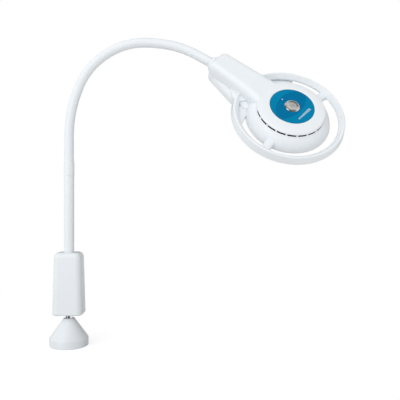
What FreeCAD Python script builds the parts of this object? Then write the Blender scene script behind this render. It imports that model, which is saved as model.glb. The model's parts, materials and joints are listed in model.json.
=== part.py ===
import FreeCAD, Part
import math
import os

from FreeCAD import Placement, Rotation, Vector

# Examination lamp on a flexible arm, in millimetres.
# Origin: centre of the foot's underside. +Z up, +X the way the arm reaches, -Y the side
# the head is turned to. All pieces are drawn in the pose with every joint at zero.

X = Vector(1, 0, 0)
Y = Vector(0, 1, 0)
Z = Vector(0, 0, 1)
ORIGIN = Vector(0, 0, 0)
BIG = 400.0

# ---- foot: a steel plate screwed down, under a conical cover that the pivot pin stands in
FOOT_R = 42.0
FOOT_RIM_H = 17.0
FOOT_H = 60.0
FOOT_NECK_R = 11.8
FOOT_WALL = 3.0
PAD_R = 38.0
PAD_T = 1.5
PLATE_R = 37.0
PLATE_T = 6.0
FOOT_BOLTS = 3
FOOT_BOLT_PCD = 56.0
FOOT_BOLT_R = 2.75
BOSS_R = 13.0
BOSS_TOP = 38.0
PIN_R = 8.0
PIN_BORE_R = 3.5
PIN_BOTTOM = 9.0
PIN_TOP = 122.0
CLIP_Z = 116.0
CLIP_T = 1.2
RUNNING_GAP = 0.05
LEAD_R = 3.2
HEAD_LEAD_R = 2.0

# ---- housing: a tapered box on the pin, made of a front shell and a rear cover
BOX_BOTTOM = 68.5
BOX_TOP = 204.5
BOX_HALF_W = (33.0, 29.3)  # at the bottom, at the top
BOX_HALF_D = (25.5, 23.0)
BOX_CORNER_R = 12.0
BOX_WALL = 2.5
COVER_SPLIT_Y = 12.5
COVER_SCREW_X = 22.0
COVER_SCREW_Z = (84.0, 188.0)
SEAM = 0.3
BUSH_R = 10.5
CHASSIS_HALF = 14.0
CHASSIS_TOP = 198.0
BRAKE_Z = 94.25
BRAKE_R = 3.0
BUSH_TOP = 114.0
THRUST_Z = (PIN_TOP + RUNNING_GAP, PIN_TOP + 3.0)
BOARD_X = 15.2
BOARD_T = 1.6
BOARD_HALF_W = 12.0

# ---- stem and flexible arm: ball-jointed links, each an arc one pitch long
STEM_R = 11.0
STEM_BORE_R = 8.5
STEM_BOTTOM = 146.0
STEM_TOP = 400.0
WIRING_SPACE = (THRUST_Z[1] + 2, STEM_BOTTOM - 3)
FERRULE_H = 28.0
FERRULE_T = 0.45
LINK_PITCH = 59.0
LAST_LINK = 55.0
LINK_BENDS = (12.0, 12.0, 23.0, 20.0, 23.0, 13.0, 17.0, 4.0)
LINK_SIDE_BENDS = (0.0, 0.0, 0.0, 0.0, 0.0, 5.0, 5.0, 5.0)
SLEEVE_R = 10.35
SLEEVE_BORE_R = 9.3
SLEEVE_CUP_R = 10.6
SLEEVE_DOME = 4.0
BALL_R = 7.0
ROD_R = 4.4
ROD_BORE_R = 2.2
SOCKET_R = 9.2
SOCKET_REACH = 2.5
ROOT_PLUG = 22.0

# ---- knuckle: a ball on the arm's end, held in a cup that the head swivels on
KNUCKLE_R = 18.5
TAIL_R = 8.3
TAIL_LENGTH = 42.0
CUP_R = 22.0
CUP_RIM = 3.6
CUP_FLOOR = 21.5
JOURNAL_R = 10.0
JOURNAL_END = 46.0
BULKHEAD = (27.0, 41.0)  # from the ball's centre

# ---- head, drawn in its own frame: origin at the centre of the control panel's face,
# x away from the arm, z out of the panel
HEAD_AZIMUTH = -21.1
HEAD_DIP = 37.0
HEAD_ROLL = 48.7
KNUCKLE_X = -196.0
KNUCKLE_Z = -29.0
HEAD_WALL = 2.5
NECK_END_X = -197.5
NECK_END_WALL = 5.0
NECK_STATIONS = (  # distance, half width, underside, top
    (NECK_END_X, 27.8, -56.0, -2.2),
    (-105.0, 32.4, -55.0, -0.2),
    (-85.0, 33.8, -53.0, -0.3),
    (-65.0, 36.8, -50.0, -1.0),
    (-46.0, 42.0, -47.0, -2.2),
)
NECK_CORNER_R = 14.0
NECK_END_FILLET = 9.0
SPLIT_Z = -27.0
PANEL_R = 45.3
PANEL_T = 2.0
DOME_R = 70.2
DOME_EDGE_Z = -6.3
SKIRT_TOP_R = 70.4
SKIRT_TOP_Z = -10.4
SKIRT_R = 88.5
SKIRT_Z = -37.0
UNDERSIDE_Z = -50.5
WINDOW_R = 68.0
VENTS = 15
VENT_PITCH = 17.6
VENT_RIB = 3.0
SCREEN_R = 67.6
SCREEN_T = 0.8
RING_RIDGE = (114.5, -15.5)  # radius, height
RING_OUTER = (120.0, -42.5)
RING_INNER = (102.0, -28.5)
RING_ROUNDING = 3.0
SPOKE_ANGLE = 80.0
SPOKE_W = 17.0
SPOKE_Z = (-38.0, -24.0)
# outlines of the webs between ring and neck, in x and y
WEB_FLOOR = ((-118, 0), (-112, -47), (-104, -50), (-56, -100), (-56, -84), (-66, -54), (-72, 0))
WEB_FLOOR_R = 112.0
WEB_FLOOR_Z = (-41.0, -33.0)
GUSSET = ((-130, 0), (-130, -30), (-124, -38), (-114, -46), (-105, -52), (-97, -50), (-92, -43),
          (-84, -30), (-84, 0))
GUSSET_Z = (-40.0, -24.0)
GUSSET_ROUNDING = 4.0
BEZEL_R = 15.5
BUTTON_R = 11.2
INDICATOR_X = -25.0
NECK_SCREWS = ((-132.0, 19.0), (-104.0, 22.0))  # x, distance to either side
LEDGE = (61.0, -31.0, -28.5)  # inner radius, underside, top
SINK_Z = (-28.5, -26.0)
SINK_R = 65.6
SINK_SCREW_R = 63.0
LED_CIRCLE_R = 38.0
LEDS_ON_CIRCLE = 6
SINK_FINS = 24


# ------------------------------------------------------------------ small helpers

def cylinder(radius, z_low, z_high, x=0.0, y=0.0):
    return Part.makeCylinder(radius, z_high - z_low, Vector(x, y, z_low))


def rod_along_y(radius, y_low, y_high, x, z):
    return Part.makeCylinder(radius, y_high - y_low, Vector(x, y_low, z), Y)


def tube(outer_r, inner_r, z_low, z_high):
    return cylinder(outer_r, z_low, z_high).cut(cylinder(inner_r, z_low - 1, z_high + 1))


def block(x_low, x_high, y_low, y_high, z_low, z_high):
    return Part.makeBox(x_high - x_low, y_high - y_low, z_high - z_low, Vector(x_low, y_low, z_low))


def sphere(radius, centre=ORIGIN):
    return Part.makeSphere(radius, centre)


def line(a, b):
    return Part.makeLine(Vector(a[0], 0, a[1]), Vector(b[0], 0, b[1]))


def arc(a, middle, b):
    ends = [Vector(p[0], 0, p[1]) for p in (a, middle, b)]
    return Part.Arc(*ends).toShape()


def lathe_edges(edges):
    """Solid turned about Z from a closed outline of edges in the XZ plane."""
    return Part.Face(Part.Wire(edges)).revolve(ORIGIN, Z, 360)


def lathe(points):
    """Solid turned about Z from a closed outline of (radius, height) points."""
    closed = list(points) + [points[0]]
    return lathe_edges([line(a, b) for a, b in zip(closed, closed[1:])])


def prism(points, z_low, z_high):
    """Solid pushed up along Z from a closed outline of (x, y) points."""
    corners = [Vector(x, y, z_low) for x, y in points]
    return Part.Face(Part.makePolygon(corners + corners[:1])).extrude(Z * (z_high - z_low))


def moved(shape, placement):
    out = shape.copy()
    out.Placement = placement.multiply(out.Placement)
    return out


def turned(shape, angle, axis=Z):
    out = shape.copy()
    out.rotate(ORIGIN, axis, angle)
    return out


def ring_of(shape, count, first_angle=0.0):
    """Copies of a shape turned about Z to equal spacing."""
    return [turned(shape, first_angle + k * 360.0 / count) for k in range(count)]


def fused(shapes):
    return shapes[0].multiFuse(shapes[1:]).removeSplitter()


def cut_all(shape, tools):
    for tool in tools:
        shape = shape.cut(tool)
    return shape


def rounded_rectangle(half_x, half_y, radius):
    """Closed wire in the XY plane, centred on the origin."""
    arcs = []
    for quarter, (sx, sy) in enumerate(((1, 1), (-1, 1), (-1, -1), (1, -1))):
        centre = Vector(sx * (half_x - radius), sy * (half_y - radius), 0)
        spokes = [Rotation(Z, 90 * quarter + swing).multVec(X * radius) for swing in (0, 45, 90)]
        arcs.append([centre + spoke for spoke in spokes])
    edges = []
    for k, (start, middle, end) in enumerate(arcs):
        edges.append(Part.Arc(start, middle, end).toShape())
        edges.append(Part.makeLine(end, arcs[(k + 1) % 4][0]))
    return Part.Wire(edges)


def screw(head_r, head_h, shank_r, length):
    """Socket screw pointing down -Z, the underside of its head at the origin."""
    body = cylinder(head_r, 0, head_h).fuse(cylinder(shank_r, -length, 0))
    hexagon = [(0.5 * head_r * math.cos(a), 0.5 * head_r * math.sin(a))
               for a in (math.radians(60 * k) for k in range(6))]
    return body.cut(prism(hexagon, 0.4 * head_h, head_h + 1))


def cable(points, radius):
    """Round cable along a smooth curve through the points."""
    curve = Part.BSplineCurve()
    curve.interpolate([Vector(*p) for p in points])
    path = Part.Wire(curve.toShape())
    start = curve.FirstParameter
    circle = Part.Wire(Part.makeCircle(radius, curve.value(start), curve.tangent(start)[0]))
    return path.makePipeShell([circle], True, False)


# ------------------------------------------------------------------ foot

def foot_pad():
    holes = ring_of(cylinder(FOOT_BOLT_R + 0.75, -1, PAD_T + 1, FOOT_BOLT_PCD / 2), FOOT_BOLTS)
    return cut_all(tube(PAD_R, LEAD_R + 1, 0, PAD_T), holes)


def foot_plate():
    top = PAD_T + PLATE_T
    plate = fused([cylinder(PLATE_R, PAD_T, top), cylinder(BOSS_R, top - 1, BOSS_TOP)])
    holes = ring_of(cylinder(FOOT_BOLT_R, 0, top + 1, FOOT_BOLT_PCD / 2), FOOT_BOLTS)
    bores = [cylinder(PIN_R, PIN_BOTTOM, BOSS_TOP + 1), cylinder(LEAD_R + 1, 0, PIN_BOTTOM + 1)]
    return cut_all(plate, holes + bores)


def foot_cover():
    bottom_r, edge_r, lip = 2.0, 1.0, 1.0
    pin_hole_r = PIN_R + RUNNING_GAP
    slope = (FOOT_H - FOOT_RIM_H) / (FOOT_R - FOOT_NECK_R)
    outline = [
        line((FOOT_R - FOOT_WALL, 0), (FOOT_R - bottom_r, 0)),
        arc((FOOT_R - bottom_r, 0), (FOOT_R - 0.6, 0.6), (FOOT_R, bottom_r)),
        line((FOOT_R, bottom_r), (FOOT_R, FOOT_RIM_H - edge_r)),
        arc((FOOT_R, FOOT_RIM_H - edge_r), (FOOT_R - 0.2, FOOT_RIM_H - 0.1),
            (FOOT_R - 0.7, FOOT_RIM_H + 0.7 * slope)),
        line((FOOT_R - 0.7, FOOT_RIM_H + 0.7 * slope), (FOOT_NECK_R + 0.7, FOOT_H - 0.7 * slope)),
        arc((FOOT_NECK_R + 0.7, FOOT_H - 0.7 * slope), (FOOT_NECK_R - 0.1, FOOT_H - 0.3),
            (FOOT_NECK_R - lip, FOOT_H)),
        line((FOOT_NECK_R - lip, FOOT_H), (pin_hole_r, FOOT_H)),
        line((pin_hole_r, FOOT_H), (pin_hole_r, FOOT_H - 5)),
        line((pin_hole_r, FOOT_H - 5), (FOOT_R - FOOT_WALL, FOOT_RIM_H - 3)),
        line((FOOT_R - FOOT_WALL, FOOT_RIM_H - 3), (FOOT_R - FOOT_WALL, 0)),
    ]
    return lathe_edges(outline)


def pivot_pin():
    pin = tube(PIN_R, PIN_BORE_R, PIN_BOTTOM, PIN_TOP)
    groove = tube(PIN_R + 1, PIN_R - 0.8, CLIP_Z, CLIP_Z + CLIP_T)
    return pin.cut(groove)


def pin_circlip():
    clip = tube(PIN_R + 2, PIN_R - 0.75, CLIP_Z + 0.05, CLIP_Z + CLIP_T - 0.05)
    return clip.cut(block(0, 20, -2.5, 2.5, CLIP_Z - 1, CLIP_Z + 3))


def supply_lead():
    return cylinder(LEAD_R, 0, PIN_TOP - 4)


# ------------------------------------------------------------------ housing

def box_half_sizes(z, inset=0.0):
    """Half width and half depth of the tapered box at a height."""
    t = (z - BOX_BOTTOM) / (BOX_TOP - BOX_BOTTOM)
    return [low + t * (high - low) - inset for low, high in (BOX_HALF_W, BOX_HALF_D)]


def box_solid(inset, z_low, z_high, top_fillet, bottom_fillet):
    """Tapered rounded box between two heights, inset from the housing's outside."""
    wires = []
    for z in (z_low, z_high):
        wire = rounded_rectangle(*box_half_sizes(z, inset), BOX_CORNER_R - inset)
        wire.translate(Z * z)
        wires.append(wire)
    box = Part.makeLoft(wires, True, True)
    top = [e for e in box.Edges if e.BoundBox.ZMin > z_high - 0.1]
    bottom = [e for e in box.Edges if e.BoundBox.ZMax < z_low + 0.1]
    return box.makeFillet(top_fillet, top).makeFillet(bottom_fillet, bottom)


def box_wall():
    """The housing's whole wall, before it is split into front shell and rear cover."""
    outside = box_solid(0, BOX_BOTTOM, BOX_TOP, 10.5, 4.0)
    inside = box_solid(BOX_WALL, BOX_BOTTOM + BOX_WALL, BOX_TOP - BOX_WALL, 8.0, 1.5)
    holes = [cylinder(PIN_R + 1, BOX_BOTTOM - 1, BOX_BOTTOM + 10),
             cylinder(STEM_R + 0.1, BOX_TOP - 10, BOX_TOP + 1)]
    return cut_all(outside, [inside] + holes)


def cover_screw_places():
    return [(side * COVER_SCREW_X, z) for side in (-1, 1) for z in COVER_SCREW_Z]


def housing_shell():
    front = box_wall().common(block(-BIG, BIG, -BIG, COVER_SPLIT_Y, -BIG, BIG))
    bosses = []
    for x, z in cover_screw_places():
        wall_middle = box_half_sizes(z, BOX_WALL / 2)[0]
        reach = (17, wall_middle) if x > 0 else (-wall_middle, -17)
        bosses.append(block(*reach, -4, COVER_SPLIT_Y, z - 5, z + 5))
    drills = [rod_along_y(1.3, 0, 20, x, z) for x, z in cover_screw_places()]
    return cut_all(fused([front] + bosses), drills)


def rear_cover():
    split = COVER_SPLIT_Y + SEAM
    cover = box_wall().common(block(-BIG, BIG, split, BIG, -BIG, BIG))
    posts = [rod_along_y(5, split, box_half_sizes(z, BOX_WALL / 2)[1], x, z)
             for x, z in cover_screw_places()]
    drills = [rod_along_y(1.7, 0, 40, x, z) for x, z in cover_screw_places()]
    drills += [rod_along_y(3.4, 20, 40, x, z) for x, z in cover_screw_places()]
    return cut_all(fused([cover] + posts), drills + [rod_along_y(4, 0, 40, 0, BRAKE_Z)])


def cover_screws():
    upright = screw(3.1, 2.0, 1.25, 17.5)
    lying = turned(upright, -90, X)
    return Part.makeCompound([moved(lying, Placement(Vector(x, 20, z), Rotation()))
                              for x, z in cover_screw_places()])


def bush_spans():
    """Lower and upper bush, with a gap between them for the brake screw."""
    gap = BRAKE_R + 0.2
    return ((BOX_BOTTOM + 3, BRAKE_Z - gap), (BRAKE_Z + gap, BUSH_TOP))


def chassis():
    side, bottom = CHASSIS_HALF, BOX_BOTTOM + 3
    body = block(-side, side, -side, side, bottom, CHASSIS_TOP)
    hollows = [
        cylinder(BUSH_R, bottom - 1, BUSH_TOP),
        cylinder(BUSH_R + 2, BUSH_TOP, THRUST_Z[1]),
        cylinder(LEAD_R + 1, THRUST_Z[1] - 1, STEM_BOTTOM + 1),
        block(-side + 4, side + 1, -side - 1, side + 1, *WIRING_SPACE),
        cylinder(STEM_R, STEM_BOTTOM, CHASSIS_TOP + 1),
        rod_along_y(BRAKE_R + RUNNING_GAP, 0, side + 1, 0, BRAKE_Z),
    ]
    return cut_all(body, hollows)


def pin_bushes():
    return Part.makeCompound([tube(BUSH_R, PIN_R + RUNNING_GAP, *span) for span in bush_spans()])


def thrust_disc():
    return tube(BUSH_R + 1.9, LEAD_R + 0.8, *THRUST_Z)


def brake_screw():
    upright = screw(BRAKE_R, 12.5, BRAKE_R - 0.1, 1.9)
    return moved(turned(upright, -90, X), Placement(Vector(0, PIN_R + 2, BRAKE_Z), Rotation()))


def driver_board():
    return block(BOARD_X, BOARD_X + BOARD_T, -BOARD_HALF_W - 4, BOARD_HALF_W, 80, 182)


def driver_components():
    face = BOARD_X + BOARD_T + 0.1
    transformer = block(face, 27, -9, 9, 92, 116)
    inductor = Part.makeCylinder(7, 7.5, Vector(face, 3, 132), X)
    capacitors = [Part.makeCylinder(4.5, 8.5, Vector(face, y, 150), X) for y in (-11, -1, 9)]
    chip = block(face, 20, -8, 4, 164, 174)
    terminals = block(-27, -CHASSIS_HALF - 0.1, -8, 8, 128, 142)
    return Part.makeCompound([transformer, inductor, chip, terminals] + capacitors)


def column_lead():
    top = STEM_TOP - ROOT_PLUG - 1
    points = [(-2, 0, WIRING_SPACE[1] - 1), (-1, 0, 150), (0, 0, 165), (0, 0, 260), (0, 0, top)]
    return cable(points, HEAD_LEAD_R)


# ------------------------------------------------------------------ stem and flexible arm

def stem_tube():
    return tube(STEM_R, STEM_BORE_R, STEM_BOTTOM, STEM_TOP)


def stem_ferrule():
    low = STEM_TOP - FERRULE_H
    collar_r = STEM_R + FERRULE_T
    return lathe([(STEM_R, low), (collar_r, low + 0.5), (collar_r, STEM_TOP + 0.8),
                  (collar_r - 0.8, STEM_TOP + 1.6), (SLEEVE_R + 0.02, STEM_TOP + 1.6),
                  (SLEEVE_R + 0.02, STEM_TOP), (STEM_R, STEM_TOP)])


class Link:
    """One arm link in its own frame: it starts at the origin along +Z and bends towards +X.

    start and end are its placements in the lamp's frame; roll turns the bend sideways."""

    def __init__(self, start, bend, side_bend, length=LINK_PITCH):
        self.start = start
        self.length = length
        self.total = math.hypot(bend, side_bend)
        self.roll = -math.degrees(math.atan2(side_bend, bend)) if self.total else 0.0
        self.end = start.multiply(self.local_end())

    def local_end(self):
        if not self.total:
            return Placement(Z * self.length, Rotation())
        centre = X * self.arc_radius()
        swing = Placement(ORIGIN, Rotation(Y, self.total), centre)
        roll = Placement(ORIGIN, Rotation(Z, self.roll))
        return roll.multiply(swing).multiply(roll.inverse())

    def arc_radius(self):
        return self.length / math.radians(self.total)

    def bar(self, radius, share=1.0):
        """Round bar along the first share of the link's arc."""
        if not self.total:
            return cylinder(radius, 0, self.length * share)
        disc = Part.Face(Part.Wire(Part.makeCircle(radius, ORIGIN, Z)))
        bar = disc.revolve(X * self.arc_radius(), Y, self.total * share)
        return turned(bar, self.roll)

    def at_end(self, shape):
        return moved(shape, self.local_end())


def arm_links():
    place = Placement(Z * STEM_TOP, Rotation())
    links = [Link(place, 0.0, 0.0)]
    for bend, side_bend in zip(LINK_BENDS, LINK_SIDE_BENDS):
        length = LAST_LINK if len(links) == len(LINK_BENDS) else LINK_PITCH
        links.append(Link(links[-1].end, bend, side_bend, length))
    return links


def sleeve(link, first, last):
    """Outer tube of a link, domed at its start and cupped at its end to nest in the next."""
    tube_part = link.bar(SLEEVE_R).cut(link.bar(SLEEVE_BORE_R))
    if not first:
        dome = sphere(SLEEVE_R).cut(sphere(SLEEVE_BORE_R))
        tube_part = fused([tube_part, dome.common(cylinder(2 * SLEEVE_R, -SLEEVE_DOME, 0))])
    cup_r = KNUCKLE_R + RUNNING_GAP if last else SLEEVE_CUP_R
    return tube_part.cut(link.at_end(sphere(cup_r)))


def socket():
    """Ball socket centred on the origin, its mouth towards +Z."""
    shell = sphere(SOCKET_R).cut(sphere(BALL_R + RUNNING_GAP))
    return shell.cut(cylinder(2 * SOCKET_R, SOCKET_REACH, 2 * SOCKET_R))


def link_core(link):
    rod = fused([link.bar(ROD_R), link.at_end(sphere(SOCKET_R)), sphere(BALL_R)])
    bores = [link.bar(ROD_BORE_R), cylinder(ROD_BORE_R, -2 * BALL_R, 0)]
    ends = [sphere(BALL_R + RUNNING_GAP), cylinder(2 * SOCKET_R, SOCKET_REACH, 2 * SOCKET_R)]
    return cut_all(rod, bores + [link.at_end(end) for end in ends])


def last_link_core(link):
    share = 1 - (TAIL_LENGTH - 7) / link.length
    rod = fused([link.bar(ROD_R, share), sphere(BALL_R)])
    return cut_all(rod, [link.bar(ROD_BORE_R), cylinder(ROD_BORE_R, -2 * BALL_R, 0)])


def arm_root(link):
    """Plug in the stem's top that carries the first socket."""
    plug = cylinder(STEM_BORE_R, -ROOT_PLUG, 4).fuse(link.bar(ROD_R))
    rod = fused([plug, link.at_end(sphere(SOCKET_R))])
    bores = [link.bar(ROD_BORE_R), cylinder(ROD_BORE_R, -ROOT_PLUG - 1, 5)]
    ends = [sphere(BALL_R + RUNNING_GAP), cylinder(2 * SOCKET_R, SOCKET_REACH, 2 * SOCKET_R)]
    return cut_all(rod, bores + [link.at_end(end) for end in ends])


def knuckle_ball(link):
    """Ball on the arm's end, with a tail that is pressed into the last sleeve."""
    tail = cylinder(TAIL_R, -TAIL_LENGTH + 12, 0).fuse(cylinder(ROD_R + 2.2, -TAIL_LENGTH, -12))
    rod_hole = link.bar(ROD_R).common(link.at_end(cylinder(BIG, -TAIL_LENGTH - 5, -TAIL_LENGTH + 8)))
    flare = Part.makeCone(ROD_BORE_R, KNUCKLE_R * 0.62, KNUCKLE_R + 1, ORIGIN, Z)
    ball = fused([sphere(KNUCKLE_R), tail]).cut(flare)
    ball = ball.cut(cylinder(ROD_BORE_R, -TAIL_LENGTH - 1, 1))
    return link.at_end(ball).cut(rod_hole)


# ------------------------------------------------------------------ knuckle cup, along its own +Z

def tilt_cup():
    outline = [(JOURNAL_R - 5, 15), (CUP_R, 15), (CUP_R, CUP_FLOOR), (JOURNAL_R, CUP_FLOOR + 4),
               (JOURNAL_R, JOURNAL_END), (JOURNAL_R - 5, JOURNAL_END)]
    body = lathe(outline).fuse(tube(CUP_R, JOURNAL_R - 5, CUP_RIM, 15))
    return body.removeSplitter().cut(sphere(KNUCKLE_R + RUNNING_GAP))


def journal_nut():
    return tube(JOURNAL_R + 4.5, JOURNAL_R, BULKHEAD[1] + RUNNING_GAP, JOURNAL_END - 0.5)


# ------------------------------------------------------------------ head shells, in the head's frame

def dome_outside():
    flat_r, shoulder = 47.0, (65.0, -2.2)
    edge = (DOME_R, DOME_EDGE_Z)
    return lathe_edges([
        line((0, 0), (flat_r, 0)),
        arc((flat_r, 0), (57.5, -0.75), shoulder),
        arc(shoulder, (68.9, -4.0), edge),
        line(edge, (0, DOME_EDGE_Z)),
        line((0, DOME_EDGE_Z), (0, 0)),
    ])


def dome_inside():
    floor = -PANEL_T - HEAD_WALL
    return lathe([(0, floor), (60, floor), (DOME_R - HEAD_WALL - 0.6, DOME_EDGE_Z),
                  (DOME_R - HEAD_WALL - 0.6, SKIRT_TOP_Z), (0, SKIRT_TOP_Z)])


def skirt_outside():
    lip = (SKIRT_R - 3.5, SKIRT_Z - 5.0)
    return lathe_edges([
        line((0, SKIRT_TOP_Z), (SKIRT_TOP_R, SKIRT_TOP_Z)),
        arc((SKIRT_TOP_R, SKIRT_TOP_Z), (81.0, -22.0), (SKIRT_R, SKIRT_Z)),
        arc((SKIRT_R, SKIRT_Z), (SKIRT_R - 0.7, SKIRT_Z - 3.2), lip),
        line(lip, (WINDOW_R + 4.5, UNDERSIDE_Z)),
        line((WINDOW_R + 4.5, UNDERSIDE_Z), (0, UNDERSIDE_Z)),
        line((0, UNDERSIDE_Z), (0, SKIRT_TOP_Z)),
    ])


def skirt_inside():
    wall = HEAD_WALL
    return lathe_edges([
        line((0, SKIRT_TOP_Z), (SKIRT_TOP_R - wall, SKIRT_TOP_Z)),
        arc((SKIRT_TOP_R - wall, SKIRT_TOP_Z), (81.0 - wall, -23.0), (SKIRT_R - wall - 0.3, SKIRT_Z)),
        line((SKIRT_R - wall - 0.3, SKIRT_Z), (SKIRT_R - 6.0, SKIRT_Z - 3.5)),
        line((SKIRT_R - 6.0, SKIRT_Z - 3.5), (WINDOW_R + 4.0, UNDERSIDE_Z + wall)),
        line((WINDOW_R + 4.0, UNDERSIDE_Z + wall), (0, UNDERSIDE_Z + wall)),
        line((0, UNDERSIDE_Z + wall), (0, SKIRT_TOP_Z)),
    ])


def neck_section(x, half_w, z_low, z_high, radius):
    """Rounded rectangle across the neck at a distance x."""
    wire = rounded_rectangle((z_high - z_low) / 2, half_w, radius)
    upright = Placement(Vector(x, 0, (z_low + z_high) / 2), Rotation(Y, 90))
    wire.Placement = upright
    return wire


def neck_solid(inset, first_x, last_x=None):
    """Neck body; an inset above zero gives its inside."""
    stations = [(first_x, *NECK_STATIONS[0][1:])] + list(NECK_STATIONS[1:])
    if last_x is not None:
        stations.append((last_x, *NECK_STATIONS[-1][1:]))
    radius = NECK_CORNER_R - 0.7 * inset
    sections = [neck_section(x, half_w - inset, low + inset, high - inset, radius)
                for x, half_w, low, high in stations]
    barrel = Part.makeLoft(sections[:2], True, True)
    flare = Part.makeLoft(sections[1:], True, False)
    return barrel, flare


def neck_outside():
    barrel, flare = neck_solid(0, NECK_END_X)
    end_edges = [e for e in barrel.Edges if e.BoundBox.XMax < NECK_END_X + 0.1]
    return fused([barrel.makeFillet(NECK_END_FILLET, end_edges), flare])


def neck_inside():
    barrel, flare = neck_solid(HEAD_WALL, NECK_END_X + NECK_END_WALL, -30.0)
    return fused([barrel, flare])


def neck_flare(inset=0.0):
    """The lower shell widens from the neck's end to the grip ring."""
    stations = ((-190.0, 27.0, -54.5, -30.0), (-112.0, 47.5, -52.0, -27.5), (-72.0, 51.0, -48.0, -27.5))
    sections = [neck_section(x + inset, w - inset, low + inset, high - inset, 9.0 - inset)
                for x, w, low, high in stations]
    return Part.makeLoft(sections, True, True)


def above_split(gap=0.0):
    return block(-BIG, BIG, -BIG, BIG, SPLIT_Z - gap, BIG)


def top_outside():
    return fused([dome_outside(), neck_outside().common(above_split())])


def lower_outside():
    neck_lower = neck_outside().cut(above_split(SEAM))
    whole = fused([skirt_outside(), neck_flare(), neck_lower])
    return whole.cut(neck_outside().common(above_split(SEAM)))


def knuckle_space():
    return sphere(KNUCKLE_R + 0.3, Vector(KNUCKLE_X, 0, KNUCKLE_Z))


def screw_posts(z_low, z_high, radius):
    return [cylinder(radius, z_low, z_high, x, side * y) for x, y in NECK_SCREWS for side in (-1, 1)]


def head_top_shell():
    shell = cut_all(top_outside(), [dome_inside(), skirt_inside(), neck_inside(), knuckle_space()])
    posts = fused(screw_posts(SPLIT_Z, -1, 4.0)).common(top_outside())
    board_posts = ring_of(cylinder(2.5, -7.6, -PANEL_T - HEAD_WALL + 0.5, 30), 3, 60)
    shell = fused([shell, posts] + board_posts)
    drills = screw_posts(SPLIT_Z - 1, -8, 1.3)
    recess = [cylinder(PANEL_R + 0.15, -PANEL_T, 1), cylinder(BUTTON_R + 1.3, -8, 1)]
    lamp_hole = cylinder(1.2, -8, 1, INDICATOR_X)
    return cut_all(shell, drills + recess + [lamp_hole])


def vent_band():
    """Low wall between skirt and dome, cut through by a row of slots."""
    band = tube(SKIRT_TOP_R - 0.2, SKIRT_TOP_R - HEAD_WALL, SKIRT_TOP_Z - 0.5, DOME_EDGE_Z - 0.05)
    slot_angle = VENT_PITCH - VENT_RIB
    wedge_y = 90 * math.tan(math.radians(slot_angle / 2))
    wedge = prism([(0, 0), (90, -wedge_y), (90, wedge_y)], SKIRT_TOP_Z, 0)
    first = -VENT_PITCH * (VENTS - 1) / 2
    return cut_all(band, [turned(wedge, first + VENT_PITCH * k) for k in range(VENTS)])


def head_lower_shell():
    shell = cut_all(lower_outside(), [skirt_inside(), neck_inside(), knuckle_space()])
    inner_flare = neck_flare(HEAD_WALL)
    shell = shell.cut(inner_flare)
    ledge_r, ledge_low, ledge_high = LEDGE
    ledge = tube(SKIRT_R, ledge_r, ledge_low, ledge_high).common(skirt_outside()).cut(neck_outside())
    ledge = ledge.cut(inner_flare)
    band = vent_band().cut(neck_outside().common(above_split(SEAM)))
    posts = fused(screw_posts(-56, SPLIT_Z - SEAM, 4.6)).common(lower_outside())
    shell = fused([shell, ledge, band, posts])
    drills = screw_posts(-60, SPLIT_Z + 1, 1.7) + screw_posts(-60, -47, 3.4)
    drills += sink_screw_holes()
    opening = cylinder(WINDOW_R + 2.2, UNDERSIDE_Z - 1, UNDERSIDE_Z + 8)
    ring_seat = cylinder(WINDOW_R + 5.0, UNDERSIDE_Z - 10, UNDERSIDE_Z)
    return cut_all(shell, drills + [opening, ring_seat])


def ring_webs():
    """On each side of the neck: a floor between ring and skirt, and a raised gusset on the neck."""
    floor = prism(WEB_FLOOR, *WEB_FLOOR_Z).common(cylinder(WEB_FLOOR_R, -BIG, 0))
    gusset = prism(GUSSET, *GUSSET_Z)
    upright = [e for e in gusset.Edges if e.BoundBox.ZLength > 15 and e.BoundBox.YMin < -35]
    webs = [floor, gusset.makeFillet(GUSSET_ROUNDING, upright)]
    return webs + [web.mirror(ORIGIN, Y) for web in webs]


def grip_ring():
    section = lathe([RING_RIDGE, RING_OUTER, RING_INNER])
    rims = [e for e in section.Edges if e.Closed]
    ring = section.makeFillet(RING_ROUNDING, rims)
    low, high = SPOKE_Z
    spoke = block(76, 108, -SPOKE_W / 2, SPOKE_W / 2, low, high)
    long_edges = [e for e in spoke.Edges if e.BoundBox.XLength > 30]
    spoke = spoke.makeFillet(3.5, long_edges)
    spokes = [turned(spoke, side * SPOKE_ANGLE) for side in (-1, 1)]
    head_body = [skirt_outside(), neck_flare(), neck_outside()]
    whole = cut_all(ring, head_body)
    for piece in spokes + ring_webs():
        whole = whole.fuse(cut_all(piece, head_body))
    return whole


# ------------------------------------------------------------------ inside the head

def sink_screw_holes():
    return ring_of(cylinder(1.3, -32, -25, SINK_SCREW_R), 3, 30)


def neck_bulkhead():
    slab = block(KNUCKLE_X + BULKHEAD[0], KNUCKLE_X + BULKHEAD[1], -BIG, BIG, -BIG, BIG)
    barrel, flare = neck_solid(HEAD_WALL + 0.1, NECK_END_X + NECK_END_WALL, -30.0)
    bore = Part.makeCylinder(JOURNAL_R + RUNNING_GAP, 80, Vector(KNUCKLE_X, 0, KNUCKLE_Z), X)
    return barrel.common(slab).cut(bore)


def control_panel():
    holes = [cylinder(BUTTON_R + 1.2, -5, 1), cylinder(1.2, -5, 1, INDICATOR_X)]
    return cut_all(cylinder(PANEL_R, -PANEL_T, 0), holes)


def indicator_lens():
    return cylinder(1.15, -6.5, 0.3, INDICATOR_X)


def button_bezel():
    inner_r = BUTTON_R + 0.15
    return lathe([(inner_r, -5), (inner_r, 1.8), (inner_r + 1.2, 2.2), (BEZEL_R - 1.5, 1.7),
                  (BEZEL_R, 0.3), (BEZEL_R, 0.02), (inner_r + 1, 0.02), (inner_r + 1, -5)])


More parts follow.
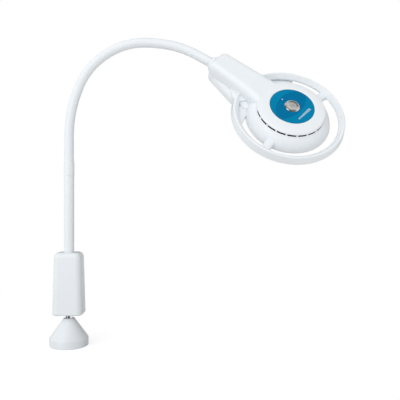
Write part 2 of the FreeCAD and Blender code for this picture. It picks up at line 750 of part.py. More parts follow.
def power_button():
    cap = lathe([(0, -2.2), (BUTTON_R, -2.2), (BUTTON_R, 1.5), (BUTTON_R - 0.5, 1.8),
                 (BUTTON_R - 3, 1.6), (0, 1.5)])
    return cap.fuse(cylinder(3, -9, -2)).removeSplitter()


def switch_body():
    return lathe([(3.3, -13), (12.2, -13), (12.2, -5.1), (9.5, -5.1), (9.5, -10.5), (3.3, -10.5)])


def button_spring():
    """Return spring, drawn one travel short of the cap so that the cap's path is free."""
    wire_r, coil_r = 0.5, 5.0
    low, high = -10.5 + wire_r, -2.2 - 1.6 - wire_r
    path = Part.makeHelix((high - low) / 3.5, high - low, coil_r)
    path.translate(Z * low)
    circle = Part.Wire(Part.makeCircle(wire_r, Vector(coil_r, 0, low), Y))
    return Part.Wire(path).makePipeShell([circle], True, True)


def control_board():
    return tube(37, 12.6, -9.2, -7.6)


def heat_sink():
    plate = cylinder(SINK_R, *SINK_Z)
    fin = block(14, 57, -0.8, 0.8, SINK_Z[1] - 1, -16)
    sink = fused([plate] + ring_of(fin, SINK_FINS))
    return cut_all(sink, sink_screw_holes())


def led_board():
    return cylinder(LEDGE[0] - 0.6, -30.1, SINK_Z[0])


def led_places():
    angles = [math.radians(k * 360.0 / LEDS_ON_CIRCLE) for k in range(LEDS_ON_CIRCLE)]
    return [(0.0, 0.0)] + [(LED_CIRCLE_R * math.cos(a), LED_CIRCLE_R * math.sin(a)) for a in angles]


def leds():
    return Part.makeCompound([block(x - 2, x + 2, y - 2, y + 2, -32.0, -30.1) for x, y in led_places()])


def lenses():
    cup = lathe([(0, -45), (14.5, -45), (14.5, -43), (5.5, -32.4), (0, -32.4)])
    return Part.makeCompound([moved(cup, Placement(Vector(x, y, 0), Rotation())) for x, y in led_places()])


def front_window():
    return cylinder(WINDOW_R - 0.1, UNDERSIDE_Z, UNDERSIDE_Z + 3)


def window_ring():
    outer, low = WINDOW_R + 2.0, UNDERSIDE_Z - 2.3
    return lathe([(64, low), (outer + 2.2, low), (outer + 2.6, low + 0.5), (outer + 2.6, UNDERSIDE_Z - 0.05),
                  (outer, UNDERSIDE_Z - 0.05), (outer, UNDERSIDE_Z + 6), (WINDOW_R, UNDERSIDE_Z + 6),
                  (WINDOW_R, UNDERSIDE_Z - 0.05), (64, UNDERSIDE_Z - 0.05)])


def vent_screen():
    """Black strip that stands on the ledge close behind the vents, open where the neck joins."""
    strip = tube(SCREEN_R, SCREEN_R - SCREEN_T, LEDGE[2], DOME_EDGE_Z - 0.3)
    return strip.cut(block(-BIG, 0, -50, 50, -BIG, 0))


def shell_screws():
    upright = turned(screw(3.1, 2.4, 1.25, 30), 180, X)
    places = [(x, side * y) for x, y in NECK_SCREWS for side in (-1, 1)]
    return Part.makeCompound([moved(upright, Placement(Vector(x, y, -47), Rotation())) for x, y in places])


def sink_screws():
    one = moved(screw(2.4, 1.8, 1.25, 5.5), Placement(Vector(SINK_SCREW_R, 0, SINK_Z[1]), Rotation()))
    return Part.makeCompound(ring_of(one, 3, 30))


def head_lead():
    journal_mouth = (KNUCKLE_X + JOURNAL_END + 2, 0, KNUCKLE_Z)
    return cable([journal_mouth, (-120, 0, -22), (-85, 0, -13), (-60, 0, -12.6), (-40, 0, -12.5)], HEAD_LEAD_R)


# ------------------------------------------------------------------ assembly

def head_placement(knuckle_centre):
    swing = Rotation(Z, HEAD_AZIMUTH) * Rotation(Y, HEAD_DIP) * Rotation(X, HEAD_ROLL)
    to_origin = Placement(Vector(-KNUCKLE_X, 0, -KNUCKLE_Z), Rotation())
    return Placement(knuckle_centre, swing).multiply(to_origin)


def lamp_parts():
    parts = {
        "foot_pad": foot_pad(),
        "foot_plate": foot_plate(),
        "foot_cover": foot_cover(),
        "pivot_pin": pivot_pin(),
        "pin_circlip": pin_circlip(),
        "supply_lead": supply_lead(),
        "housing_shell": housing_shell(),
        "rear_cover": rear_cover(),
        "cover_screws": cover_screws(),
        "chassis": chassis(),
        "pin_bushes": pin_bushes(),
        "thrust_disc": thrust_disc(),
        "brake_screw": brake_screw(),
        "driver_board": driver_board(),
        "driver_components": driver_components(),
        "column_lead": column_lead(),
        "stem_tube": stem_tube(),
        "stem_ferrule": stem_ferrule(),
    }
    links = arm_links()
    parts["arm_root"] = moved(arm_root(links[0]), links[0].start)
    parts["arm_sleeve_0"] = moved(sleeve(links[0], True, False), links[0].start)
    for k, link in enumerate(links[1:], start=1):
        last = k == len(links) - 1
        core = last_link_core(link) if last else link_core(link)
        parts[f"arm_link_{k}"] = moved(core, link.start)
        parts[f"arm_sleeve_{k}"] = moved(sleeve(link, False, last), link.start)
    parts["knuckle_ball"] = moved(knuckle_ball(links[-1]), links[-1].start)

    head = head_placement(links[-1].end.Base)
    cup_place = head.multiply(Placement(Vector(KNUCKLE_X, 0, KNUCKLE_Z), Rotation(Y, 90)))
    for piece in (tilt_cup, journal_nut):
        parts[piece.__name__] = moved(piece(), cup_place)
    head_pieces = (
        head_top_shell, head_lower_shell, grip_ring, neck_bulkhead, control_panel, indicator_lens,
        button_bezel, power_button, switch_body, button_spring, control_board, heat_sink, led_board,
        leds, lenses, front_window, window_ring, vent_screen, shell_screws, sink_screws, head_lead,
    )
    for piece in head_pieces:
        parts[piece.__name__] = moved(piece(), head)
    return parts


def main():
    os.makedirs("parts", exist_ok=True)
    for name, shape in lamp_parts().items():
        shape.exportStep(f"parts/{name}.step")


main()
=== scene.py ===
import json
import math

import bmesh
import bpy
from mathutils import Matrix, Vector


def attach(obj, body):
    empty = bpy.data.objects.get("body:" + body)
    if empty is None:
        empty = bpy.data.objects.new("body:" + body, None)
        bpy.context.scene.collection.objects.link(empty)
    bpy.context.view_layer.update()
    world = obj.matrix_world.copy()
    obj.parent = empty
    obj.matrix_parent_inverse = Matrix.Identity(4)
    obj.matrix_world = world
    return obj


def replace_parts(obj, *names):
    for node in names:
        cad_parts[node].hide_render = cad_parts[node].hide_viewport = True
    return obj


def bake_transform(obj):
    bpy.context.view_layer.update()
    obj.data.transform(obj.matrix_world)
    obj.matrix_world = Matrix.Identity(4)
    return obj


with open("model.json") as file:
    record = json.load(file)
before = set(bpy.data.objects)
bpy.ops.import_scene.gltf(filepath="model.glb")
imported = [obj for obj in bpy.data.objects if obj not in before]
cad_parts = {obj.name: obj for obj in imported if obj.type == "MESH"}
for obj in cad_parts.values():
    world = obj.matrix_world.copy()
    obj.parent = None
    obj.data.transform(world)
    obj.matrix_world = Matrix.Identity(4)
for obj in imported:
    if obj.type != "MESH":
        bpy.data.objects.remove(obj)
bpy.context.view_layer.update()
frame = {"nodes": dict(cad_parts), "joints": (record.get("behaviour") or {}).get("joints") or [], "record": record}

# Examination lamp: its looks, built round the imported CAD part. Metres, in the CAD part's frame.

MM = 0.001
UP = Vector((0, 0, 1))
SHARP_ANGLE = math.radians(35)  # edges that turn more than this stay sharp

# ---- places read from the CAD part
JOINTS = {joint["name"]: joint for joint in frame["joints"]}
SLOT_OF_NODE = {part["node"]: part["material_slot"] for part in frame["record"]["subparts"]}
ARM_JOINTS = ("lower_bend", "lower_bend_2", "side_bend", "lower_bend_3",
              "upper_bend", "side_bend_2", "upper_bend_2", "upper_bend_3")
KNUCKLE = Vector(JOINTS["head_tilt"]["pos_m"])
HEAD_X = Vector(JOINTS["head_swivel"]["axis"]).normalized()
HEAD_Z = -Vector(JOINTS["button_press"]["axis"]).normalized()
HEAD_Y = HEAD_Z.cross(HEAD_X)
PANEL_FROM_KNUCKLE = (196 * MM, 29 * MM)  # along the head, and out of it

# ---- flexible arm
STEM_TOP = 400 * MM
SLEEVE_R = 10.35 * MM
SLEEVE_BORE = 9.3 * MM
RIB_DEPTH = 0.16 * MM
RIBS_PER_HALF_LINK = 10
STEPS_PER_RIB = 4
SLEEVE_SIDES = 48
STRAIGHT = 1e-4  # half turn, in radians, under which an arc is a straight line
KNUCKLE_R = 18.5 * MM
SLEEVE_STOP = 0.85 * KNUCKLE_R  # from the ball's centre, so the ball hides the sleeve's end

# ---- control panel
PANEL_R = 45.3 * MM
# black ring round the panel: painted shade for the groove between the panel and the shell's rim
SHADE_RING_OVERLAP = 0.1 * MM
SHADE_RING_W = 0.5 * MM
SHADE_RING_BOTTOM = -0.6 * MM
SHADE_RING_TOP = 0.05 * MM
SHADE_RING_CORNER = 0.1 * MM
SHADE_RING_SIDES = 160
DARK_CIRCLES = (((30 * MM, 4.6 * MM), 60 * MM), ((-52 * MM, -1.3 * MM), 71.6 * MM))  # centre, radius
DOT_PITCH = 2.4 * MM
DOT_R = 0.27  # share of the pitch
DOT_FADE_Y = (4 * MM, 26 * MM)  # from the head's middle line: where dots start to show, and are strongest
DOT_STRENGTH = 0.75
SCALE_BARS = 15
SCALE_X = 29.5 * MM
SCALE_FROM_Y = -17 * MM
SCALE_TO_Y = 20 * MM
SCALE_BAR_W = 1.0 * MM
SCALE_BAR_LENGTHS = (2.8 * MM, 5.4 * MM)
SCALE_BAR_H = 0.06 * MM

# ---- power symbol: a broken ring, and a stroke through its gap
SYMBOL_BOTTOM = 1.4 * MM
SYMBOL_TOP = 1.62 * MM
SYMBOL_R = 3.1 * MM
SYMBOL_LINE = 0.75 * MM
SYMBOL_ARC = (180 + 38, 540 - 38)  # degrees, open towards the arm
STROKE_FROM = -1.35 * SYMBOL_R
STROKE_TO = -0.25 * SYMBOL_R

# ---- vents: a row of slots round the head, with none on the arm's side
# black strip under the slots: painted shade for the deep floor of the slots
VENT_SHADE_R = (67.7 * MM, 70.1 * MM)
VENT_SHADE_Z = -10.45 * MM  # just under the slots' floor
VENT_SHADE_T = 0.15 * MM
VENT_HALF_ANGLE = 130  # degrees, either side of the head's far end

# ---- colours, linear
WHITE = (0.80, 0.838, 0.868)
SLEEVE_WHITE = (0.80, 0.838, 0.872)
BLUE_DARK = (0.0, 0.15, 0.32)
BLUE_LIGHT = (0.0, 0.21, 0.395)
INK = (0.9, 0.93, 0.95)
SYMBOL_GREY = (0.16, 0.16, 0.15)
CLEAR_TINT = (0.96, 0.98, 0.99)

# ---- studio: floor
FLOOR_HALF = 30.0
FLOOR_WHITE = 0.5
FLOOR_BLEND = (0.30, 0.75)  # distance from the foot where the floor starts to turn white, and is white
NEAR_FLOOR_GLOW = (0.15, 0.72)  # own light of the floor by the foot, to the lamp and to the camera
FAR_FLOOR_GLOW = (0.88, 1.0)

# ---- studio: world
LIGHT_FROM = Vector((-0.38, -0.92, 0.0)).normalized()  # front left
WORLD_SPREAD = (-0.35, 0.75)  # cosine of the angle to LIGHT_FROM where it is dim, and where it is bright
WORLD_LEVELS = (0.04, 1.51)
BAND_SCALE = 1.3
BAND_EDGES = (0.42, 0.60)  # noise value at a dark band's edge, and at a light band's
BAND_LEVELS = (0.03, 1.0)

# ---- studio: softboxes as (name, place, size, power), and the camera, its lens and sensor in millimetres
MIDDLE = (0.25, 0.0, 0.35)
SOFTBOXES = (("key", (-0.9, -1.8, 0.9), 1.2, 3.5), ("top", (0.2, 0.3, 2.0), 1.4, 0.7))
CAMERA_PLACE = (0.288, -1.100, 0.308)
CAMERA_LENS = 45.0
CAMERA_SENSOR = 36.0
CAMERA_SHIFT_Y = 0.0125


def head_matrix():
    """Head frame: origin at the control panel's centre, x away from the arm, z out of the panel."""
    along, out = PANEL_FROM_KNUCKLE
    origin = KNUCKLE + along * HEAD_X + out * HEAD_Z
    turn = Matrix((HEAD_X, HEAD_Y, HEAD_Z)).transposed().to_4x4()
    return Matrix.Translation(origin) @ turn


HEAD = head_matrix()


# ------------------------------------------------------------------ shader nodes

def feed(tree, socket, value):
    """Gives a socket a value, or links another node's output to it."""
    if isinstance(value, bpy.types.NodeSocket):
        tree.links.new(value, socket)
    else:
        socket.default_value = value


def add_node(tree, kind, inputs=(), **settings):
    node = tree.nodes.new(kind)
    for key, value in settings.items():
        setattr(node, key, value)
    for key, value in dict(inputs).items():
        feed(tree, node.inputs[key], value)
    return node


def map_range(tree, value, source, target):
    """Value moved from the source range to the target range, and held inside it."""
    inputs = {"Value": value, "From Min": source[0], "From Max": source[1],
              "To Min": target[0], "To Max": target[1]}
    return add_node(tree, "ShaderNodeMapRange", inputs).outputs["Result"]


def rgba(colour):
    """Colour with alpha 1; a node's output is passed on."""
    if isinstance(colour, bpy.types.NodeSocket) or len(colour) == 4:
        return colour
    return (*colour, 1.0)


# ------------------------------------------------------------------ materials

class Finish:
    """A material under construction: a principled shader and the nodes that drive it."""

    def __init__(self, name, colour, roughness, metallic=0.0):
        self.material = bpy.data.materials.new(name)
        self.material.use_nodes = True
        self.tree = self.material.node_tree
        self.shader = self.tree.nodes["Principled BSDF"]
        self.colour = rgba(colour)
        self.set("Base Color", self.colour)
        self.set("Roughness", roughness)
        self.set("Metallic", metallic)
        self.place = self.add("ShaderNodeTexCoord").outputs["Object"]

    def add(self, kind, inputs=(), **settings):
        return add_node(self.tree, kind, inputs, **settings)

    def set(self, socket, value):
        feed(self.tree, self.shader.inputs[socket], value)

    def math(self, operation, a, b=0.0):
        return self.add("ShaderNodeMath", {0: a, 1: b}, operation=operation).outputs[0]

    def noise(self, size, detail=3.0, place=None):
        """Smooth random value from 0 to 1, with features of the given size."""
        inputs = {"Vector": place or self.place, "Scale": 1 / size, "Detail": detail}
        return self.add("ShaderNodeTexNoise", inputs).outputs["Fac"]

    def between(self, value, low, high, start=0.2, end=0.8):
        """low where value is under start, high where it is over end."""
        return map_range(self.tree, value, (start, end), (low, high))

    def mix(self, share, a, b):
        """Colour between a, where share is 0, and b, where it is 1."""
        colour_a, colour_b, colour_out = 6, 7, 2
        inputs = {"Factor": share, colour_a: rgba(a), colour_b: rgba(b)}
        return self.add("ShaderNodeMix", inputs, data_type="RGBA").outputs[colour_out]

    def vary_roughness(self, low, high, size=40 * MM):
        self.set("Roughness", self.between(self.noise(size), low, high))

    def vary_colour(self, share, size=60 * MM):
        """Darkens broad patches by a share of the colour."""
        darker = tuple(c * (1 - share) for c in self.colour[:3])
        self.set("Base Color", self.mix(self.between(self.noise(size), 0.0, 1.0), self.colour, darker))

    def bump(self, height, depth, rounding=0.0):
        """Surface relief of the given depth; rounding softens the edges of the mesh."""
        inputs = {"Height": height, "Distance": depth, "Strength": 1.0}
        if rounding:
            bevel = self.add("ShaderNodeBevel", {"Radius": rounding})
            inputs["Normal"] = bevel.outputs["Normal"]
        self.set("Normal", self.add("ShaderNodeBump", inputs).outputs["Normal"])

    def in_head(self):
        """Position in the head's frame."""
        back = HEAD.inverted()
        inputs = {"Vector": self.place, "Location": back.translation, "Rotation": back.to_euler()}
        return self.add("ShaderNodeMapping", inputs).outputs["Vector"]


def moulded(name, colour, roughness):
    """Injection-moulded plastic: fine spark texture, slightly uneven gloss."""
    finish = Finish(name, colour, roughness)
    finish.vary_colour(0.02)
    finish.vary_roughness(roughness - 0.04, roughness + 0.06)
    finish.bump(finish.noise(0.5 * MM, detail=2.0), depth=0.003 * MM, rounding=0.35 * MM)
    finish.set("IOR", 1.47)
    return finish.material


def powder_coat(name, colour):
    finish = Finish(name, colour, roughness=0.34)
    finish.vary_colour(0.02)
    finish.vary_roughness(0.28, 0.38)
    finish.bump(finish.noise(1.3 * MM, detail=1.0), depth=0.02 * MM, rounding=0.3 * MM)
    return finish.material


def flexible_sleeve(name, colour):
    finish = Finish(name, colour, roughness=0.42)
    finish.vary_colour(0.03, size=90 * MM)
    finish.vary_roughness(0.38, 0.48)
    finish.bump(finish.noise(0.4 * MM, detail=2.0), depth=0.008 * MM)
    return finish.material


def metal(name, colour, roughness, grain=0.3 * MM, depth=0.006 * MM):
    """Metal with an even fine grain, as left by plating, blasting or drawing."""
    finish = Finish(name, colour, roughness, metallic=1.0)
    finish.vary_colour(0.08, size=8 * MM)
    finish.vary_roughness(roughness * 0.85, roughness * 1.2, size=6 * MM)
    finish.bump(finish.noise(grain, detail=2.0), depth, rounding=0.15 * MM)
    return finish.material


def turned_steel(name, colour):
    """Stainless steel faced on a lathe: fine rings about the head's button."""
    finish = Finish(name, colour, roughness=0.26, metallic=1.0)
    flat = finish.add("ShaderNodeVectorMath", {0: finish.in_head(), 1: (1, 1, 0)}, operation="MULTIPLY")
    radius = finish.add("ShaderNodeVectorMath", {0: flat.outputs[0]}, operation="LENGTH")
    across = finish.add("ShaderNodeCombineXYZ", {0: radius.outputs["Value"]}).outputs[0]
    rings = finish.noise(0.16 * MM, place=across)
    finish.set("Roughness", finish.between(rings, 0.18, 0.36))
    finish.set("Base Color", finish.mix(rings, colour, tuple(0.8 * c for c in colour)))
    finish.bump(rings, depth=0.006 * MM, rounding=0.12 * MM)
    return finish.material


def printed_panel(name):
    """Blue foil: a dark field where two circles overlap, and lighter ends with a grid of fine dots."""
    finish = Finish(name, BLUE_DARK, roughness=0.24)
    head = finish.in_head()
    light = None
    for (x, y), radius in DARK_CIRCLES:
        spread = finish.add("ShaderNodeVectorMath", {0: head, 1: (x, y, 0)}, operation="DISTANCE")
        outside = finish.math("GREATER_THAN", spread.outputs["Value"], radius)
        light = outside if light is None else finish.math("MAXIMUM", light, outside)
    grid = finish.add("ShaderNodeTexVoronoi", {"Vector": head, "Scale": 1 / DOT_PITCH, "Randomness": 0.0})
    dots = finish.math("LESS_THAN", grid.outputs["Distance"], DOT_R)
    y = finish.add("ShaderNodeSeparateXYZ", {0: head}).outputs["Y"]
    near_side = finish.between(finish.math("ABSOLUTE", y), 0.0, DOT_STRENGTH, *DOT_FADE_Y)
    field = finish.mix(finish.math("MULTIPLY", dots, near_side), BLUE_LIGHT, BLUE_DARK)
    finish.set("Base Color", finish.mix(light, BLUE_DARK, field))
    finish.set("Specular IOR Level", 0.03)
    finish.vary_roughness(0.3, 0.4, size=15 * MM)
    finish.bump(finish.noise(0.25 * MM, detail=1.0), depth=0.003 * MM, rounding=0.1 * MM)
    return finish.material


def clear(name, roughness):
    finish = Finish(name, CLEAR_TINT, roughness)
    finish.set("Transmission Weight", 1.0)
    finish.set("IOR", 1.49)
    finish.vary_roughness(roughness, roughness + 0.05, size=5 * MM)
    return finish.material


def solder_mask(name, colour, track_colour):
    """Circuit board: copper tracks showing through the mask."""
    track_pitch = 5 * MM
    track_width = 0.06  # share of the pitch
    finish = Finish(name, colour, roughness=0.35)
    grid = finish.add("ShaderNodeTexVoronoi", {"Vector": finish.place, "Scale": 1 / track_pitch},
                      feature="DISTANCE_TO_EDGE", distance="EUCLIDEAN")
    track = finish.math("LESS_THAN", grid.outputs["Distance"], track_width)
    finish.set("Base Color", finish.mix(track, finish.colour, track_colour))
    finish.bump(track, depth=0.03 * MM)
    return finish.material


def plain(name, colour, roughness, grain=0.5 * MM, depth=0.01 * MM):
    """Paint, rubber or plastic with an even grain."""
    finish = Finish(name, colour, roughness)
    finish.vary_colour(0.12, size=6 * MM)
    finish.vary_roughness(roughness * 0.9, min(1.0, roughness * 1.15), size=5 * MM)
    finish.bump(finish.noise(grain, detail=2.0), depth)
    return finish.material


def all_materials():
    """One material for each slot of the record, by slot name, and two for the printed marks."""
    return {
        "white_plastic": moulded("white_plastic", WHITE, 0.30),
        "nylon_white": moulded("nylon_white", WHITE, 0.28),
        "white_paint": powder_coat("white_paint", WHITE),
        "arm_sleeve": flexible_sleeve("arm_sleeve", SLEEVE_WHITE),
        "chrome": metal("chrome", (0.86, 0.87, 0.89), 0.05, grain=2 * MM, depth=0.002 * MM),
        "brushed_steel": turned_steel("brushed_steel", (0.72, 0.72, 0.70)),
        "zinc_steel": metal("zinc_steel", (0.66, 0.67, 0.68), 0.34),
        "spring_steel": metal("spring_steel", (0.45, 0.46, 0.47), 0.38),
        "cast_aluminium": metal("cast_aluminium", (0.7, 0.71, 0.72), 0.48, grain=0.25 * MM, depth=0.02 * MM),
        "bronze": metal("bronze", (0.62, 0.42, 0.2), 0.42, grain=0.2 * MM, depth=0.015 * MM),
        "nylon": plain("nylon", (0.7, 0.68, 0.6), 0.5),
        "rubber": plain("rubber", (0.02, 0.02, 0.02), 0.75, grain=0.3 * MM, depth=0.02 * MM),
        "cable": plain("cable", (0.12, 0.125, 0.13), 0.55),
        "circuit_board": solder_mask("circuit_board", (0.01, 0.10, 0.03), (0.02, 0.2, 0.06)),
        "led_board": solder_mask("led_board", (0.8, 0.8, 0.78), (0.7, 0.7, 0.66)),
        "component_black": plain("component_black", (0.006, 0.006, 0.007), 0.8),
        "blue_panel": printed_panel("blue_panel"),
        "indicator": plain("indicator", (0.92, 0.94, 0.97), 0.2, grain=2 * MM, depth=0.002 * MM),
        "led": plain("led", (0.85, 0.68, 0.2), 0.4),
        "clear_optic": clear("clear_optic", 0.02),
        "window": clear("window", 0.12),
        "ink": plain("ink", INK, 0.35, grain=0.3 * MM, depth=0.002 * MM),
        "symbol": plain("symbol", SYMBOL_GREY, 0.4, grain=0.3 * MM, depth=0.002 * MM),
    }


# ------------------------------------------------------------------ mesh helpers

def turn_faces_out(mesh):
    work = bmesh.new()
    work.from_mesh(mesh)
    bmesh.ops.recalc_face_normals(work, faces=work.faces)
    work.to_mesh(mesh)
    work.free()


def piece(name, shape, material, place=Matrix.Identity(4)):
    """Closed mesh object from (points, faces), smooth but for its sharp edges."""
    points, faces = shape
    mesh = bpy.data.meshes.new(name)
    mesh.from_pydata([tuple(place @ Vector(point)) for point in points], [], faces)
    mesh.shade_smooth()
    mesh.set_sharp_from_angle(angle=SHARP_ANGLE)
    mesh.materials.append(material)
    turn_faces_out(mesh)
    made = bpy.data.objects.new(name, mesh)
    bpy.context.scene.collection.objects.link(made)
    return made


def ring_faces(rings, sides):
    """Quads between rings of points, and from the last ring back to the first."""
    faces = []
    for i in range(rings):
        here = i * sides
        there = (i + 1) % rings * sides
        for j in range(sides):
            k = (j + 1) % sides
            faces.append((here + j, here + k, there + k, there + j))
    return faces


def turned_ring(profile, steps):
    """Points and faces of a ring turned about Z from a closed profile of (radius, height)."""
    points = []
    for radius, height in profile:
        for step in range(steps):
            angle = 2 * math.pi * step / steps
            points.append((radius * math.cos(angle), radius * math.sin(angle), height))
    return points, ring_faces(len(profile), steps)


def slab(outline, low, high):
    """Points and faces of a flat piece between two heights from a closed outline."""
    count = len(outline)
    points = [(x, y, low) for x, y in outline] + [(x, y, high) for x, y in outline]
    sides = [(k, (k + 1) % count, count + (k + 1) % count, count + k) for k in range(count)]
    bottom = tuple(range(count))[::-1]
    top = tuple(range(count, 2 * count))
    return points, sides + [bottom, top]


# ------------------------------------------------------------------ flexible arm

class Arc:
    """Circular arc from a to b that leaves a in a given direction."""

    def __init__(self, a, b, direction):
        self.a = a
        self.direction = direction
        chord = b - a
        towards = chord.normalized()
        self.half_turn = math.acos(min(1.0, direction.dot(towards)))
        self.end_direction = (2 * direction.dot(towards) * towards - direction).normalized()
        self.length = chord.length
        if self.half_turn > STRAIGHT:
            self.radius = chord.length / (2 * math.sin(self.half_turn))
            self.inward = (towards - direction * math.cos(self.half_turn)).normalized()
            self.length = 2 * self.half_turn * self.radius

    def at(self, share):
        """Point and direction a share of the way along."""
        if self.half_turn <= STRAIGHT:
            return self.a + share * self.length * self.direction, self.direction
        angle = 2 * self.half_turn * share
        sideways = self.radius * (1 - math.cos(angle)) * self.inward
        point = self.a + self.radius * math.sin(angle) * self.direction + sideways
        return point, math.cos(angle) * self.direction + math.sin(angle) * self.inward


def arm_arcs():
    """The arm's centreline: straight up from the stem, then one arc from each joint to the next."""
    stops = [Vector((0, 0, STEM_TOP))]
    stops += [Vector(JOINTS[name]["pos_m"]) for name in ARM_JOINTS]
    stops.append(KNUCKLE)
    arcs = []
    direction = UP
    for a, b in zip(stops, stops[1:]):
        arcs.append(Arc(a, b, direction))
        direction = arcs[-1].end_direction
    return arcs


def half_link(arc, first, last):
    """Stations over part of an arc, as (point, direction, share of a rib passed)."""
    count = RIBS_PER_HALF_LINK * STEPS_PER_RIB
    stations = []
    for step in range(count + 1):
        share = first + (last - first) * step / count
        stations.append((*arc.at(share), step / STEPS_PER_RIB))
    return stations


def ribbed_tube(stations):
    """Points and faces of a tube along stations, its outside rippled once per rib."""
    points = []
    for bore in (False, True):
        for point, direction, ribs in (reversed(stations) if bore else stations):
            groove = RIB_DEPTH * 0.5 * (1 + math.cos(2 * math.pi * ribs))
            radius = SLEEVE_BORE if bore else SLEEVE_R - groove
            side = (Vector((0, 1, 0)) - direction.y * direction).normalized()
            other = direction.cross(side)
            for k in range(SLEEVE_SIDES):
                angle = 2 * math.pi * k / SLEEVE_SIDES
                points.append(point + radius * (math.cos(angle) * side + math.sin(angle) * other))
    return points, ring_faces(2 * len(stations), SLEEVE_SIDES)


def build_arm(material):
    """Sleeve pieces that meet half way between joints, each curved through the joint inside it."""
    arcs = arm_arcs()
    bodies = ["column"] + [f"link_{k}" for k in range(1, len(ARM_JOINTS) + 1)]
    halves = [(half_link(arc, 0.0, 0.5), half_link(arc, 0.5, 1.0)) for arc in arcs]

    def sleeve(name, stations, nodes):
        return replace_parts(piece(name, ribbed_tube(stations), material), *nodes)

    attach(sleeve("sleeve_root", halves[0][0], ["arm_sleeve_0"]), bodies[0])
    for k in range(len(ARM_JOINTS)):
        stations = halves[k][1] + halves[k + 1][0][1:]
        bend = sleeve(f"sleeve_bend_{k + 1}", stations, [f"arm_sleeve_{k + 1}"])
        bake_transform(bend)
    tip = half_link(arcs[-1], 0.5, 1 - SLEEVE_STOP / arcs[-1].length)
    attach(sleeve("sleeve_tip", tip, []), bodies[-1])


# ------------------------------------------------------------------ control panel details

def build_panel_shade_ring(material):
    """Thin black ring round the panel, its top corners cut off: painted shade for the groove between the panel and
    the shell's rim, drawn in the black rubber finish.
    """
    inner = PANEL_R - SHADE_RING_OVERLAP
    outer = PANEL_R + SHADE_RING_W
    shoulder = SHADE_RING_TOP - SHADE_RING_CORNER
    profile = [(inner, SHADE_RING_BOTTOM), (outer, SHADE_RING_BOTTOM), (outer, shoulder),
               (outer - SHADE_RING_CORNER, SHADE_RING_TOP), (inner + SHADE_RING_CORNER, SHADE_RING_TOP), (inner, shoulder)]
    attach(piece("panel_shade_ring", turned_ring(profile, SHADE_RING_SIDES), material, HEAD), "head")


def rectangle(x_from, x_to, y_from, y_to):
    return [(x_from, y_from), (x_to, y_from), (x_to, y_to), (x_from, y_to)]


def build_brightness_scale(material):
    """Row of bars that grow in height: the generic mark for dim to bright."""
    short, tall = SCALE_BAR_LENGTHS
    half_w = 0.5 * SCALE_BAR_W
    for k in range(SCALE_BARS):
        share = k / (SCALE_BARS - 1)
        y = SCALE_FROM_Y + share * (SCALE_TO_Y - SCALE_FROM_Y)
        half_h = 0.5 * (short + share * (tall - short))
        outline = rectangle(SCALE_X - half_h, SCALE_X + half_h, y - half_w, y + half_w)
        bar = piece(f"scale_bar_{k + 1}", slab(outline, 0.0, SCALE_BAR_H), material, HEAD)
        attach(bar, "head")


def thick_arc(inner_r, outer_r, first, last, steps=40):
    """Outline of a thick arc between two angles in degrees."""
    angles = [math.radians(first + (last - first) * k / steps) for k in range(steps + 1)]
    outer = [(outer_r * math.cos(a), outer_r * math.sin(a)) for a in angles]
    inner = [(inner_r * math.cos(a), inner_r * math.sin(a)) for a in angles]
    return outer + inner[::-1]


def build_vent_shade(material):
    """Black strip along the floor of the vent slots, running through the ribs between them: painted shade that
    darkens the slots where their floor lies in shadow.
    """
    outline = thick_arc(*VENT_SHADE_R, -VENT_HALF_ANGLE, VENT_HALF_ANGLE, steps=120)
    shape = slab(outline, VENT_SHADE_Z, VENT_SHADE_Z + VENT_SHADE_T)
    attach(piece("vent_shade", shape, material, HEAD), "head")


def build_power_symbol(material):
    """Broken ring and a stroke through its gap, standing just proud of the button."""
    half_line = 0.5 * SYMBOL_LINE
    ring = thick_arc(SYMBOL_R - half_line, SYMBOL_R + half_line, *SYMBOL_ARC)
    stroke = rectangle(STROKE_FROM, STROKE_TO, -half_line, half_line)
    for name, outline in (("power_ring", ring), ("power_stroke", stroke)):
        shape = slab(outline, SYMBOL_BOTTOM, SYMBOL_TOP)
        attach(piece(name, shape, material, HEAD), "button")


# ------------------------------------------------------------------ CAD pieces

def finish_cad_pieces(materials):
    for name, node in frame["nodes"].items():
        node.data.materials.clear()
        node.data.materials.append(materials[SLOT_OF_NODE[name]])


# ------------------------------------------------------------------ studio

def floor_material():
    """Pale near the foot, fading into the white background, and brighter to the camera than to the lamp."""
    finish = Finish("floor", (FLOOR_WHITE,) * 3, roughness=0.9)
    seen = finish.add("ShaderNodeLightPath").outputs["Is Camera Ray"]
    near_glow = map_range(finish.tree, seen, (0.0, 1.0), NEAR_FLOOR_GLOW)
    far_glow = map_range(finish.tree, seen, (0.0, 1.0), FAR_FLOOR_GLOW)
    finish.set("Specular IOR Level", 0.1)
    finish.set("Emission Color", (1, 1, 1, 1))
    finish.set("Emission Strength", near_glow)
    away = finish.add("ShaderNodeVectorMath", {0: finish.place}, operation="LENGTH").outputs["Value"]
    share = map_range(finish.tree, away, FLOOR_BLEND, (0.0, 1.0))
    glow = finish.add("ShaderNodeEmission", {"Color": (1, 1, 1, 1), "Strength": far_glow})
    both = finish.add("ShaderNodeMixShader", {0: share, 1: finish.shader.outputs[0], 2: glow.outputs[0]})
    feed(finish.tree, finish.tree.nodes["Material Output"].inputs["Surface"], both.outputs[0])
    return finish.material


def build_floor():
    mesh = bpy.data.meshes.new("floor")
    corners = rectangle(-FLOOR_HALF, FLOOR_HALF, -FLOOR_HALF, FLOOR_HALF)
    mesh.from_pydata([(x, y, 0) for x, y in corners], [], [(0, 1, 2, 3)])
    mesh.materials.append(floor_material())
    floor = bpy.data.objects.new("floor", mesh)
    floor.visible_glossy = False  # polished parts mirror the banded world instead
    bpy.context.scene.collection.objects.link(floor)


def soft_light(tree, direction):
    """World's brightness as the lamp sees it: highest towards LIGHT_FROM."""
    facing = add_node(tree, "ShaderNodeVectorMath", {0: direction, 1: LIGHT_FROM}, operation="DOT_PRODUCT")
    return map_range(tree, facing.outputs["Value"], WORLD_SPREAD, WORLD_LEVELS)


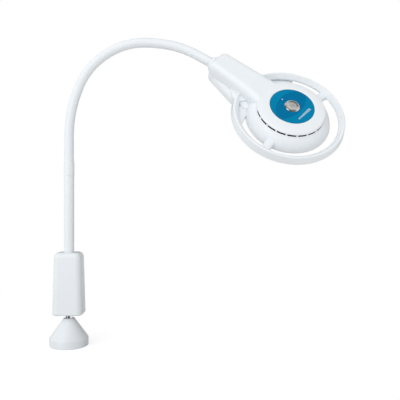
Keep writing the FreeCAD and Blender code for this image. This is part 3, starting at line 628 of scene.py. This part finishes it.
def mirror_bands(tree, direction):
    """World's brightness as polished metal mirrors it: upright light and dark bands."""
    flat = add_node(tree, "ShaderNodeVectorMath", {0: direction, 1: (1, 1, 0)}, operation="MULTIPLY")
    level = add_node(tree, "ShaderNodeVectorMath", {0: flat.outputs[0]}, operation="NORMALIZE")
    inputs = {"Vector": level.outputs[0], "Scale": BAND_SCALE, "Detail": 0.0}
    bands = add_node(tree, "ShaderNodeTexNoise", inputs)
    return map_range(tree, bands.outputs["Fac"], BAND_EDGES, BAND_LEVELS)


def choose(tree, share, a, b):
    """a where share is 0, b where it is 1."""
    inputs = {"Factor": share, "A": a, "B": b}
    return add_node(tree, "ShaderNodeMix", inputs, data_type="FLOAT").outputs["Result"]


def build_world():
    """White to the camera, banded to polished metal, and brightest at the front left to the rest."""
    world = bpy.data.worlds.new("studio")
    world.use_nodes = True
    bpy.context.scene.world = world
    tree = world.node_tree
    tree.nodes.clear()
    direction = add_node(tree, "ShaderNodeTexCoord").outputs["Generated"]
    ray = add_node(tree, "ShaderNodeLightPath").outputs
    lit = choose(tree, ray["Is Glossy Ray"], soft_light(tree, direction), mirror_bands(tree, direction))
    shown = choose(tree, ray["Is Camera Ray"], lit, 1.0)
    background = add_node(tree, "ShaderNodeBackground", {"Color": (1, 1, 1, 1), "Strength": shown})
    add_node(tree, "ShaderNodeOutputWorld", {"Surface": background.outputs[0]})


def build_softbox(name, place, size, power):
    light = bpy.data.lights.new(name, "AREA")
    light.shape = "DISK"
    light.size = size
    light.energy = power
    made = bpy.data.objects.new(name, light)
    made.location = place
    made.rotation_euler = (Vector(MIDDLE) - Vector(place)).to_track_quat("-Z", "Y").to_euler()
    bpy.context.scene.collection.objects.link(made)


def build_camera():
    camera = bpy.data.cameras.new("camera")
    camera.lens = CAMERA_LENS
    camera.sensor_width = CAMERA_SENSOR
    camera.shift_y = CAMERA_SHIFT_Y
    made = bpy.data.objects.new("camera", camera)
    made.location = CAMERA_PLACE
    made.rotation_euler = (math.radians(90), 0, 0)
    bpy.context.scene.collection.objects.link(made)
    bpy.context.scene.camera = made


def build_studio():
    build_floor()
    build_world()
    for name, place, size, power in SOFTBOXES:
        build_softbox(name, place, size, power)
    build_camera()
    bpy.context.scene.view_settings.view_transform = "Standard"


# ------------------------------------------------------------------ assembly


def main():
    materials = all_materials()
    finish_cad_pieces(materials)
    build_arm(materials["arm_sleeve"])
    # black ring in the rubber finish: painted shade for the groove round the panel
    build_panel_shade_ring(materials["rubber"])
    build_brightness_scale(materials["ink"])
    build_power_symbol(materials["symbol"])
    # black strip under the vent slots: painted shade for the slots' floor
    build_vent_shade(materials["component_black"])
    build_studio()


main()
